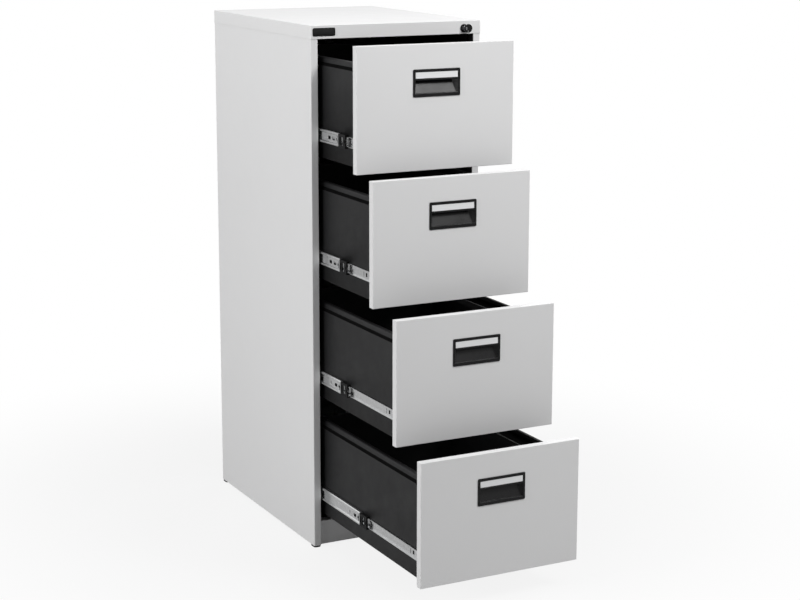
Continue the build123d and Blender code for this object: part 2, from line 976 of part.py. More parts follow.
def file_bar():
    """Flat bar on edge for hanging files, from the front plate to the rear wall."""
    start = front_y + front_depth
    top = tray_rise + tray_h - bar_drop
    x = file_bar_x()
    return block(
        (x - bar_gauge / 2, x + bar_gauge / 2),
        (start - tray_gauge - bar_overhang, start + tray_l + bar_overhang),
        (top - bar_h, top),
    )


def write(name, part):
    """Writes one piece as its own file."""
    export_step(part, f"parts/{name}.step")


def main():
    """Builds every piece and writes it at its place in the cabinet."""
    os.makedirs("parts", exist_ok=True)
    left = side_panel_left()
    right = mirror(left, about=Plane.YZ)
    back = back_panel()
    for hole in screw_holes():
        left -= hole
        right -= hole
        back -= hole
    write("side_panel_left", left)
    write("side_panel_right", right)
    write("back_panel", back)
    write("back_screws", back_screws())
    write("top_cover", top_cover())
    write("top_front_rail", top_front_rail())
    write("plinth_panel", plinth_panel())
    write("base_pan", base_pan())
    write("slide_uprights", slide_uprights())
    write("corner_feet", corner_feet())
    write("badge_plate", badge_plate())
    write("lock_housing", lock_housing())
    write("lock_nut", lock_nut())
    write("lock_plug", lock_plug())
    write("lock_cam", lock_cam())
    write("key", key())
    write("key_head", key_head())
    write("lock_bar", lock_bar())
    write("lock_bar_guides", lock_bar_guides())

    outer = outer_member()
    pieces = {
        "front": front_pan(),
        "handle": handle(),
        "label_card": label_card(),
        "tray": tray(),
        "file_bar": file_bar(),
    }
    middle = group(both_sides(middle_member()))
    inner = group(both_sides(inner_member()))
    bumpers = group(both_sides(slide_bumper()))
    outer_balls = group(both_sides(outer_cage()))
    inner_balls = group(both_sides(inner_cage()))
    outer_slides = []
    for index in range(drawer_count):
        number = index + 1
        low = drawer_bottom(index)
        centre = low + slide_rise
        first = middle_out[index]
        total = drawer_out[index]
        outer_slides.extend(both_sides(Pos(0, 0, centre) * outer))
        write(f"middle_slides_{number}", Pos(0, -first, centre) * middle)
        write(f"slide_bumpers_{number}", Pos(0, -first, centre) * bumpers)
        write(f"outer_ball_cages_{number}", Pos(0, -first / 2, centre) * outer_balls)
        cage_out = first + (total - first) / 2
        write(f"inner_ball_cages_{number}", Pos(0, -cage_out, centre) * inner_balls)
        write(f"inner_slides_{number}", Pos(0, -total, centre) * inner)
        for name, piece in pieces.items():
            write(f"drawer_{name}_{number}", Pos(0, -total, low) * piece)
    write("outer_slides", group(outer_slides))


main()
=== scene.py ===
"""Looks of a four-drawer sheet-steel filing cabinet, its drawers part open.

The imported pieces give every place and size. This script rounds their edges, gives each
its finish, adds small fastenings, and sets up the studio and the camera. Lengths are in
metres, with the cabinet's front facing -Y.
"""

import json
import logging
import math
from dataclasses import dataclass, replace
from enum import Enum

import bmesh
import bpy
from mathutils import Matrix, Vector


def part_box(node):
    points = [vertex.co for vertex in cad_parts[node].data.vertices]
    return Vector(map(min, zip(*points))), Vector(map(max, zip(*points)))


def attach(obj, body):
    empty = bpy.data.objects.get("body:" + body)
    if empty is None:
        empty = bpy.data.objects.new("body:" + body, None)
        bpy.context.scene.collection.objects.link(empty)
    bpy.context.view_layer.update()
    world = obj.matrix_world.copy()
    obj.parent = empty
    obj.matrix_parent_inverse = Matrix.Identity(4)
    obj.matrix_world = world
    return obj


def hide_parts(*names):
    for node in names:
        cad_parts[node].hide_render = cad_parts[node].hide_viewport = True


log = logging.getLogger("filing_cabinet")

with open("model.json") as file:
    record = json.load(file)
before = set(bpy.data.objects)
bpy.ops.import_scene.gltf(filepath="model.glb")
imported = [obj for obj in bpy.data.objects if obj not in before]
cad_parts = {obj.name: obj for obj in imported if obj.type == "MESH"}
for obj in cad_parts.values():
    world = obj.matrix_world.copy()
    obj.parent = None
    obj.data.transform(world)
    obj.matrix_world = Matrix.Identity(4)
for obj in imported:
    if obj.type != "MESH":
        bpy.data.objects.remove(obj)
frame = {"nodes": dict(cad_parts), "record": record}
MM = 0.001
DRAWER_NUMBERS = (1, 2, 3, 4)
SHARP = math.radians(40)
SMOOTH_UP_TO = math.radians(42)
FLAT_WITHIN = math.radians(0.5)
SAME_PLACE = MM / 1000
SAME_LEVEL = MM / 10
INNER_CORNER_SHARE = 0.3
BUMP_STRENGTH = 0.6
CLEAR_COAT_ROUGHNESS = 0.12


class Side(Enum):
    """A side of the cabinet, with the sign of its X."""

    LEFT = -1
    RIGHT = 1


class Socket(Enum):
    """Kinds of node socket that the groups here use."""

    FLOAT = "NodeSocketFloat"
    COLOUR = "NodeSocketColor"
    VECTOR = "NodeSocketVector"
    INT = "NodeSocketInt"
    GEOMETRY = "NodeSocketGeometry"


class Tree:
    """Short calls for placing and joining nodes in a node tree."""

    def __init__(self, tree: bpy.types.NodeTree) -> None:
        """Keeps the tree.

        Args:
            tree: The node tree to build in.
        """
        self.tree = tree

    def add(self, kind: str, **settings: object) -> bpy.types.Node:
        """Adds a node.

        Args:
            kind: The node's Blender type.
            settings: Properties to set on the node.

        Returns:
            The new node.
        """
        node = self.tree.nodes.new(kind)
        for name, value in settings.items():
            setattr(node, name, value)
        return node

    def join(self, start: bpy.types.NodeSocket, end: bpy.types.NodeSocket) -> None:
        """Links an output socket to an input socket."""
        self.tree.links.new(start, end)

    def feed(self, node: bpy.types.Node, name: str | int, value: object) -> None:
        """Sets an input, or links it if the value is a socket.

        Args:
            node: The node to feed.
            name: The input's name or number.
            value: A plain value or an output socket.
        """
        if isinstance(value, bpy.types.NodeSocket):
            self.join(value, node.inputs[name])
        else:
            node.inputs[name].default_value = value

    def math(self, operation: str, first: object, second: object) -> bpy.types.NodeSocket:
        """Adds a sum of two values.

        Args:
            operation: The sum's Blender name.
            first: A plain value or a socket.
            second: A plain value or a socket.

        Returns:
            The result's socket.
        """
        node = self.add("ShaderNodeMath", operation=operation)
        self.feed(node, 0, first)
        self.feed(node, 1, second)
        return node.outputs[0]

    def noise(self, where: object, scale: object, detail: float) -> bpy.types.NodeSocket:
        """Adds a noise pattern.

        Args:
            where: The coordinates that it reads.
            scale: How fine it is, per metre.
            detail: How many finer layers it has.

        Returns:
            The pattern's value, from 0 to 1.
        """
        node = self.add("ShaderNodeTexNoise")
        self.feed(node, "Vector", where)
        self.feed(node, "Scale", scale)
        node.inputs["Detail"].default_value = detail
        return node.outputs["Fac"]

    def wobble(self, pattern: object, amount: object) -> bpy.types.NodeSocket:
        """Turns a pattern from 0 to 1 into a change to both sides of nothing.

        Args:
            pattern: The pattern's value.
            amount: The change from its lowest to its highest value.

        Returns:
            The change, from minus half the amount to plus half of it.
        """
        return self.math("MULTIPLY", self.math("SUBTRACT", pattern, 0.5), amount)

    def split(self, vector: bpy.types.NodeSocket) -> list[bpy.types.NodeSocket]:
        """Takes a vector apart.

        Args:
            vector: The vector's socket.

        Returns:
            The sockets of its three numbers.
        """
        node = self.add("ShaderNodeSeparateXYZ")
        self.join(vector, node.inputs[0])
        return list(node.outputs)

    def stretched(self, where: object, scale: tuple[float, float, float]) -> bpy.types.NodeSocket:
        """Scales coordinates by a different amount along each axis.

        Args:
            where: The coordinates.
            scale: The amount for each axis.

        Returns:
            The scaled coordinates.
        """
        node = self.add("ShaderNodeMapping")
        self.feed(node, "Vector", where)
        node.inputs["Scale"].default_value = scale
        return node.outputs["Vector"]


def new_group(
    name: str,
    kind: str,
    inputs: dict[str, tuple[Socket, object]],
    outputs: dict[str, Socket],
) -> tuple[Tree, bpy.types.Node, bpy.types.Node]:
    """Makes a node group with named sockets.

    Args:
        name: The group's name.
        kind: The Blender type of the group's tree.
        inputs: Each input's kind and default value, by name.
        outputs: Each output's kind, by name.

    Returns:
        The tree, its input node and its output node.
    """
    group = bpy.data.node_groups.new(name, kind)
    for label, (socket, default) in inputs.items():
        made = group.interface.new_socket(label, in_out="INPUT", socket_type=socket.value)
        if default is not None:
            made.default_value = default
    for label, socket in outputs.items():
        group.interface.new_socket(label, in_out="OUTPUT", socket_type=socket.value)
    tree = Tree(group)
    return tree, tree.add("NodeGroupInput"), tree.add("NodeGroupOutput")


def coat_group() -> bpy.types.NodeTree:
    """Builds the sprayed coat's effect: grain, slow tone changes and smudges in the gloss.

    Returns:
        A shader group that puts out a colour, a roughness and a bump height.
    """
    tree, start, end = new_group(
        "sprayed_coat",
        "ShaderNodeTree",
        {
            "Colour": (Socket.COLOUR, (0.6, 0.6, 0.6, 1)),
            "Roughness": (Socket.FLOAT, 0.4),
            "Grain Scale": (Socket.FLOAT, 900.0),
            "Tone": (Socket.FLOAT, 0.04),
        },
        {"Colour": Socket.COLOUR, "Roughness": Socket.FLOAT, "Height": Socket.FLOAT},
    )
    cloud_scale, smudge_scale = 3.0, 22.0
    grain_in_gloss, smudge_in_gloss = 0.16, 0.2
    where = tree.add("ShaderNodeTexCoord").outputs["Object"]
    grain = tree.noise(where, start.outputs["Grain Scale"], 2.0)
    cloud = tree.noise(where, cloud_scale, 3.0)
    smudge = tree.noise(where, smudge_scale, 4.0)
    tint = tree.add("ShaderNodeHueSaturation")
    shift = tree.wobble(cloud, start.outputs["Tone"])
    tree.feed(tint, "Value", tree.math("ADD", shift, 1.0))
    tree.feed(tint, "Color", start.outputs["Colour"])
    rough = tree.wobble(grain, grain_in_gloss)
    rough = tree.math("ADD", rough, tree.wobble(smudge, smudge_in_gloss))
    tree.join(tint.outputs["Color"], end.inputs["Colour"])
    tree.join(tree.math("ADD", start.outputs["Roughness"], rough), end.inputs["Roughness"])
    tree.join(grain, end.inputs["Height"])
    return tree.tree


def rolled_steel_group() -> bpy.types.NodeTree:
    """Builds bright plated steel's effect: rolling lines along Y and faint crystals.

    Returns:
        A shader group that puts out a colour, a roughness and a bump height.
    """
    tree, start, end = new_group(
        "rolled_steel",
        "ShaderNodeTree",
        {
            "Colour": (Socket.COLOUR, (0.7, 0.7, 0.7, 1)),
            "Roughness": (Socket.FLOAT, 0.3),
            "Line Scale": (Socket.FLOAT, 700.0),
        },
        {"Colour": Socket.COLOUR, "Roughness": Socket.FLOAT, "Height": Socket.FLOAT},
    )
    along_roll = (1, 0.02, 1)
    crystal_scale, crystal_tone, darkest = 160.0, 0.24, 0.86
    lines_in_gloss = 0.3
    where = tree.add("ShaderNodeTexCoord").outputs["Object"]
    lines = tree.noise(tree.stretched(where, along_roll), start.outputs["Line Scale"], 3.0)
    crystals = tree.noise(where, crystal_scale, 1.0)
    tint = tree.add("ShaderNodeHueSaturation")
    tone = tree.math("ADD", tree.math("MULTIPLY", crystals, crystal_tone), darkest)
    tree.feed(tint, "Value", tone)
    tree.feed(tint, "Color", start.outputs["Colour"])
    rough = tree.wobble(lines, lines_in_gloss)
    tree.join(tint.outputs["Color"], end.inputs["Colour"])
    tree.join(tree.math("ADD", start.outputs["Roughness"], rough), end.inputs["Roughness"])
    tree.join(lines, end.inputs["Height"])
    return tree.tree


def lining_group() -> bpy.types.NodeTree:
    """Builds a mask that is 1 inside a box and 0 outside it, in the object's own metres.

    Returns:
        A shader group that puts out the mask.
    """
    tree, start, end = new_group(
        "inside_box",
        "ShaderNodeTree",
        {"Low": (Socket.VECTOR, (-1, -1, -1)), "High": (Socket.VECTOR, (1, 1, 1))},
        {"Mask": Socket.FLOAT},
    )
    where = tree.split(tree.add("ShaderNodeTexCoord").outputs["Object"])
    low = tree.split(start.outputs["Low"])
    high = tree.split(start.outputs["High"])
    mask = 1.0
    for axis in range(3):
        above = tree.math("GREATER_THAN", where[axis], low[axis])
        below = tree.math("LESS_THAN", where[axis], high[axis])
        mask = tree.math("MULTIPLY", mask, tree.math("MULTIPLY", above, below))
    tree.join(mask, end.inputs["Mask"])
    return tree.tree


@dataclass(frozen=True)
class Lining:
    """A second colour for all that lies inside a box."""

    colour: tuple[float, float, float]
    low: tuple[float, float, float]
    high: tuple[float, float, float]


@dataclass(frozen=True)
class Finish:
    """A finish: one colour, a gloss and a fine surface pattern.

    The scale is the pattern's fineness per metre and the depth its height in metres.
    """

    name: str
    slot: str
    colour: tuple[float, float, float]
    roughness: float
    scale: float
    depth: float
    tone: float = 0.04
    metal: float = 0.0
    coat: float = 0.0
    rolled: bool = False
    specular: float = 0.5
    lining: Lining | None = None

    def material(self, groups: dict[str, bpy.types.NodeTree]) -> bpy.types.Material:
        """Builds the finish as a node material.

        Args:
            groups: The shared shader groups, by name.

        Returns:
            The new material.
        """
        made = bpy.data.materials.new(self.name)
        made.use_nodes = True
        tree = Tree(made.node_tree)
        surface = next(n for n in tree.tree.nodes if n.type == "BSDF_PRINCIPLED")
        effect = tree.add("ShaderNodeGroup")
        effect.node_tree = groups["rolled_steel" if self.rolled else "sprayed_coat"]
        effect.inputs["Colour"].default_value = (*self.colour, 1)
        effect.inputs["Roughness"].default_value = self.roughness
        if self.rolled:
            effect.inputs["Line Scale"].default_value = self.scale
        else:
            effect.inputs["Grain Scale"].default_value = self.scale
            effect.inputs["Tone"].default_value = self.tone
        bump = tree.add("ShaderNodeBump")
        bump.inputs["Distance"].default_value = self.depth
        bump.inputs["Strength"].default_value = BUMP_STRENGTH
        tree.join(effect.outputs["Height"], bump.inputs["Height"])
        colour = effect.outputs["Colour"]
        if self.lining:
            colour = self.lined(tree, groups["inside_box"], colour)
        tree.join(colour, surface.inputs["Base Color"])
        tree.join(effect.outputs["Roughness"], surface.inputs["Roughness"])
        tree.join(bump.outputs["Normal"], surface.inputs["Normal"])
        surface.inputs["Metallic"].default_value = self.metal
        surface.inputs["Specular IOR Level"].default_value = self.specular
        surface.inputs["Coat Weight"].default_value = self.coat
        surface.inputs["Coat Roughness"].default_value = CLEAR_COAT_ROUGHNESS
        return made

    def lined(
        self, tree: Tree, group: bpy.types.NodeTree, colour: bpy.types.NodeSocket
    ) -> bpy.types.NodeSocket:
        """Mixes in the lining's colour inside its box.

        Args:
            tree: The material's tree.
            group: The shared mask group.
            colour: The finish's own colour.

        Returns:
            The mixed colour.
        """
        box = tree.add("ShaderNodeGroup")
        box.node_tree = group
        box.inputs["Low"].default_value = self.lining.low
        box.inputs["High"].default_value = self.lining.high
        mix = tree.add("ShaderNodeMix", data_type="RGBA")
        tree.join(box.outputs["Mask"], mix.inputs["Factor"])
        tree.join(colour, mix.inputs["A"])
        mix.inputs["B"].default_value = (*self.lining.colour, 1)
        return mix.outputs["Result"]


def inside_lining(colour: tuple[float, float, float]) -> Lining:
    """The lining of the cabinet's inside, from its packed size.

    Args:
        colour: The lining's colour.

    Returns:
        A lining that starts halfway through the sheet.
    """
    low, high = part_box("side_panel_left")
    skin = 0.5 * MM
    return Lining(
        colour,
        (low[0] + skin, low[1] + skin, low[2] - skin),
        (-low[0] - skin, high[1] - skin, high[2] + skin),
    )


LIGHT_COAT = Finish(
    name="light_grey_coat",
    slot="light_paint",
    colour=(0.665, 0.665, 0.668),
    roughness=0.42,
    scale=1400,
    depth=4e-5,
)
LINED_COAT = replace(
    LIGHT_COAT, name="lined_grey_coat", lining=inside_lining((0.010, 0.010, 0.0105))
)
BLACK_COAT = Finish(
    name="black_coat",
    slot="black_paint",
    colour=(0.0075, 0.0075, 0.008),
    roughness=0.52,
    scale=1200,
    depth=5e-5,
    tone=0.3,
    specular=0.2,
)
MATT_BLACK = replace(BLACK_COAT, name="matt_black_coat", roughness=0.68)
# Painted shade: a near-black, almost unglossy finish that stands in for the shadow in the fold
# under each tray's rim.
PAINTED_FOLD_SHADE = replace(
    BLACK_COAT, name="painted_shade_in_fold", colour=(0.001, 0.001, 0.001), roughness=0.9, specular=0.04
)
PLASTIC = Finish(
    name="black_moulding",
    slot="black_plastic",
    colour=(0.004, 0.004, 0.0043),
    roughness=0.3,
    scale=2200,
    depth=3e-5,
    tone=0.2,
    specular=0.21,
)
DULL_PLASTIC = replace(PLASTIC, name="dull_black_moulding", roughness=0.45, specular=0.1)
BLACK_GLOSS = Finish(
    name="black_lock_gloss",
    slot="black_lock",
    colour=(0.004, 0.004, 0.0043),
    roughness=0.16,
    scale=600,
    depth=1e-5,
    coat=0.1,
    specular=0.22,
)
ZINC = Finish(
    name="zinc_plate",
    slot="zinc",
    colour=(0.65, 0.655, 0.66),
    roughness=0.22,
    scale=700,
    depth=1e-5,
    metal=1.0,
    rolled=True,
)
CHROME = Finish(
    name="chrome_plate",
    slot="chrome",
    colour=(0.3, 0.3, 0.31),
    roughness=0.14,
    scale=300,
    depth=4e-6,
    metal=1.0,
    rolled=True,
)
CARD = Finish(
    name="label_card",
    slot="card",
    colour=(0.72, 0.725, 0.73),
    roughness=0.75,
    scale=3000,
    depth=4e-5,
    tone=0.06,
)
FINISHES = (
    LIGHT_COAT,
    LINED_COAT,
    BLACK_COAT,
    MATT_BLACK,
    PAINTED_FOLD_SHADE,
    PLASTIC,
    DULL_PLASTIC,
    BLACK_GLOSS,
    ZINC,
    CHROME,
    CARD,
)


@dataclass(frozen=True)
class HeadRow:
    """A straight row of fastener heads."""

    count: int
    start: tuple[float, float, float]
    step: tuple[float, float, float]
    radius: float
    height: float
    turn: tuple[float, float, float]

    def values(self) -> dict[str, object]:
        """The row's numbers by the name of the tree input that takes each."""
        return {
            "Count": self.count,
            "Start": self.start,
            "Step": self.step,
            "Radius": self.radius,
            "Height": self.height,
            "Turn": self.turn,
        }


def head_row_tree(material: bpy.types.Material, crossed: bool) -> bpy.types.NodeTree:
    """Builds the tree that sets low domed heads along a line.

    Args:
        material: The heads' material.
        crossed: True to cut a cross slot into each head.

    Returns:
        The geometry node tree.
    """
    tree, start, end = new_group(
        "head_row",
        "GeometryNodeTree",
        {
            "Geometry": (Socket.GEOMETRY, None),
            "Count": (Socket.INT, 2),
            "Start": (Socket.VECTOR, None),
            "Step": (Socket.VECTOR, None),
            "Radius": (Socket.FLOAT, 0.004),
            "Height": (Socket.FLOAT, 0.001),
            "Turn": (Socket.VECTOR, None),
        },
        {"Geometry": Socket.GEOMETRY},
    )
    line = tree.add("GeometryNodeMeshLine", mode="OFFSET")
    tree.feed(line, "Count", start.outputs["Count"])
    tree.feed(line, "Start Location", start.outputs["Start"])
    tree.feed(line, "Offset", start.outputs["Step"])
    sides, rings = 20, 10
    slot_l, slot_w, slot_h, slot_rise = 1.1, 0.2, 1.2, 0.95
    dome = tree.add("GeometryNodeMeshUVSphere")
    dome.inputs["Segments"].default_value = sides
    dome.inputs["Rings"].default_value = rings
    dome.inputs["Radius"].default_value = 1.0
    shape = dome.outputs["Mesh"]
    if crossed:
        cut = tree.add("GeometryNodeMeshBoolean", operation="DIFFERENCE")
        tree.join(shape, cut.inputs[0])
        for size in ((slot_l, slot_w, slot_h), (slot_w, slot_l, slot_h)):
            bar = tree.add("GeometryNodeMeshCube")
            bar.inputs["Size"].default_value = size
            place = tree.add("GeometryNodeTransform")
            place.inputs["Translation"].default_value = (0, 0, slot_rise)
            tree.join(bar.outputs["Mesh"], place.inputs["Geometry"])
            tree.join(place.outputs["Geometry"], cut.inputs[1])
        shape = cut.outputs["Mesh"]
    size = tree.add("ShaderNodeCombineXYZ")
    for axis, label in zip("XYZ", ("Radius", "Radius", "Height")):
        tree.feed(size, axis, start.outputs[label])
    spread = tree.add("GeometryNodeInstanceOnPoints")
    tree.join(line.outputs["Mesh"], spread.inputs["Points"])
    tree.join(shape, spread.inputs["Instance"])
    tree.join(start.outputs["Turn"], spread.inputs["Rotation"])
    tree.join(size.outputs["Vector"], spread.inputs["Scale"])
    real = tree.add("GeometryNodeRealizeInstances")
    tree.join(spread.outputs["Instances"], real.inputs["Geometry"])
    paint = tree.add("GeometryNodeSetMaterial")
    paint.inputs["Material"].default_value = material
    tree.join(real.outputs["Geometry"], paint.inputs["Geometry"])
    tree.join(paint.outputs["Geometry"], end.inputs["Geometry"])
    return tree.tree


class Workshop:
    """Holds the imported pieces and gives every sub-assembly its tools and finishes."""

    def __init__(self) -> None:
        """Builds the shared groups and one material for each finish."""
        groups = {
            "sprayed_coat": coat_group(),
            "rolled_steel": rolled_steel_group(),
            "inside_box": lining_group(),
        }
        self.materials = {finish: finish.material(groups) for finish in FINISHES}
        self.body = {
            node: body
            for body, names in frame["record"]["behaviour"]["bodies"].items()
            for node in names
        }

    def paint(self, piece: bpy.types.Object, finish: Finish) -> None:
        """Gives a piece one finish all over.

        Args:
            piece: The piece.
            finish: The finish it gets.
        """
        piece.data.materials.clear()
        piece.data.materials.append(self.materials[finish])
        for polygon in piece.data.polygons:
            polygon.material_index = 0

    def dress(self, node: str, finish: Finish) -> None:
        """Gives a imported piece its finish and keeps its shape.

        Args:
            node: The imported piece's name.
            finish: The finish it gets.
        """
        piece = frame["nodes"][node]
        piece.data.materials.clear()
        piece.data.materials.append(self.materials[finish])
        log.info("%s: %s", node, finish.name)

    def link(self, name: str, shape: bmesh.types.BMesh) -> bpy.types.Object:
        """Turns a built shape into an object in the scene.

        Args:
            name: The object's name.
            shape: The shape, which is freed.

        Returns:
            The new object.
        """
        mesh = bpy.data.meshes.new(name)
        shape.to_mesh(mesh)
        shape.free()
        piece = bpy.data.objects.new(name, mesh)
        bpy.context.scene.collection.objects.link(piece)
        return piece

    def settle(self, piece: bpy.types.Object) -> None:
        """Turns a piece's modifiers into plain mesh.

        Args:
            piece: The piece.
        """
        graph = bpy.context.evaluated_depsgraph_get()
        graph.update()
        mesh = bpy.data.meshes.new_from_object(piece.evaluated_get(graph))
        piece.modifiers.clear()
        piece.data = mesh

    def smooth(self, piece: bpy.types.Object) -> None:
        """Shades a piece smooth round its edges and flat over its large faces.

        Args:
            piece: The piece.
        """
        piece.data.shade_smooth()
        piece.data.set_sharp_from_angle(angle=SMOOTH_UP_TO)
        level = piece.modifiers.new("flat_faces", "WEIGHTED_NORMAL")
        level.keep_sharp = True
        self.settle(piece)

    def finish_piece(
        self, piece: bpy.types.Object, body: str, finish: Finish, *stands_for: str
    ) -> None:
        """Puts a finished piece on its body.

        Args:
            piece: The piece.
            body: The body that it moves with.
            finish: Its finish.
            stands_for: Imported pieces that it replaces.
        """
        self.paint(piece, finish)
        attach(piece, body)
        if stands_for:
            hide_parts(*stands_for)
        log.info("%s: %s, on %s", piece.name, finish.name, body)

    def copy(self, node: str) -> bmesh.types.BMesh:
        """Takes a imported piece's shape with its loose triangles joined.

        Args:
            node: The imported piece's name.

        Returns:
            The shape, to be built on.
        """
        shape = bmesh.new()
        shape.from_mesh(frame["nodes"][node].data)
        bmesh.ops.remove_doubles(shape, verts=shape.verts, dist=SAME_PLACE)
        return shape

    def round_edges(
        self, node: str, finish: Finish, width: float, steps: int = 2, top: float = 1.0
    ) -> None:
        """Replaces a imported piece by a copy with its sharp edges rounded.

        Args:
            node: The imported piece's name.
            finish: The finish it gets.
            width: How far the rounding reaches from each outer edge.
            steps: How many faces make up the rounding.
            top: The share of the width that the topmost edges get.
        """
        shape = self.copy(node)
        bmesh.ops.dissolve_limit(
            shape, angle_limit=FLAT_WITHIN, verts=shape.verts, edges=shape.edges
        )
        weight = shape.edges.layers.float.new("bevel_weight_edge")
        highest = max(vert.co.z for vert in shape.verts)
        largest = max(1.0, top)
        for edge in shape.edges:
            if len(edge.link_faces) != 2:
                continue
            angle = edge.calc_face_angle_signed()
            if abs(angle) < SHARP:
                continue
            share = 1.0 if angle > 0 else INNER_CORNER_SHARE
            if min(vert.co.z for vert in edge.verts) > highest - SAME_LEVEL:
                share = top
            edge[weight] = share / largest
        piece = self.link(f"{node}_rounded", shape)
        bevel = piece.modifiers.new("edges", "BEVEL")
        bevel.width = width * largest
        bevel.segments = steps
        bevel.limit_method = "WEIGHT"
        bevel.use_clamp_overlap = False
        self.settle(piece)
        self.smooth(piece)
        self.finish_piece(piece, self.body[node], finish, node)

    def heads(
        self,
        name: str,
        body: str,
        finish: Finish,
        rows: list[HeadRow],
        crossed: bool = False,
    ) -> bpy.types.Object:
        """Makes rows of fastener heads on one body as one piece.

        Args:
            name: The piece's name.
            body: The body that carries the heads.
            finish: Their finish.
            rows: Where each row runs.
            crossed: True for screws with a cross slot, False for plain rivets.

        Returns:
            The finished piece.
        """
        tree = head_row_tree(self.materials[finish], crossed)
        whole = bmesh.new()
        for row in rows:
            carrier = self.link("row", bmesh.new())
            maker = carrier.modifiers.new("row", "NODES")
            maker.node_group = tree
            sockets = {
                item.name: item.identifier
                for item in tree.interface.items_tree
                if item.in_out == "INPUT"
            }
            for label, value in row.values().items():
                maker[sockets[label]] = value
            self.settle(carrier)
            whole.from_mesh(carrier.data)
            bpy.data.objects.remove(carrier)
        bmesh.ops.recalc_face_normals(whole, faces=whole.faces)
        piece = self.link(name, whole)
        self.smooth(piece)
        self.finish_piece(piece, body, finish)
        return piece


@dataclass
class Carcass:
    """Sides, back, cover, plinth, feet and the frame inside."""

    shop: Workshop
    edge: float = 0.35 * MM
    lid_steps: int = 3
    lid_share: float = 4.0
    foot_edge: float = 0.8 * MM
    screws_on_a_side: int = 3
    screw_radius: float = 4.2 * MM
    screw_height: float = 2.0 * MM

    def build(self) -> None:
        """Dresses every piece of the carcass."""
        for node in ("side_panel_left", "side_panel_right"):
            self.shop.dress(node, LINED_COAT)
        for node in ("back_panel", "plinth_panel"):
            self.shop.dress(node, LIGHT_COAT)
        self.shop.round_edges(
            "top_cover", LINED_COAT, self.edge, self.lid_steps, top=self.lid_share
        )
        for node in ("base_pan", "slide_uprights", "top_front_rail"):
            self.shop.dress(node, BLACK_COAT)
        self.shop.round_edges("corner_feet", PLASTIC, self.foot_edge)
        self.shop.round_edges("badge_plate", BLACK_GLOSS, self.edge)
        self.shop.dress("outer_slides", ZINC)
        self.screws()

    def screws(self) -> None:
        """Puts a cross-slotted head over each plain screw in the back."""
        low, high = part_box("back_screws")
        rows = []
        inset = self.screw_radius
        gaps = self.screws_on_a_side - 1
        for side in Side:
            x = low[0] + inset if side is Side.LEFT else high[0] - inset
            rows.append(
                HeadRow(
                    count=self.screws_on_a_side,
                    start=(x, high[1] - self.screw_height / 2, low[2] + inset),
                    step=(0, 0, (high[2] - low[2] - 2 * inset) / gaps),
                    radius=self.screw_radius,
                    height=self.screw_height / 2,
                    turn=(-math.pi / 2, 0, 0),
                )
            )
        piece = self.shop.heads("back_screw_heads", "cabinet", ZINC, rows, crossed=True)
        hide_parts("back_screws")


@dataclass
class Lock:
    """Lock, key and lock bar."""

    shop: Workshop
    edge: float = 0.25 * MM
    key_edge: float = 0.5 * MM
    bezel_edge: float = 1.4 * MM
    bezel_steps: int = 4

    def build(self) -> None:
        """Dresses every piece of the lock."""
        self.shop.round_edges("lock_housing", BLACK_GLOSS, self.bezel_edge, self.bezel_steps)
        self.shop.round_edges("lock_plug", CHROME, self.edge)
        self.shop.round_edges("key_head", PLASTIC, self.key_edge)
        self.shop.dress("key", CHROME)
        for node in ("lock_nut", "lock_cam", "lock_bar", "lock_bar_guides"):
            self.shop.dress(node, ZINC)


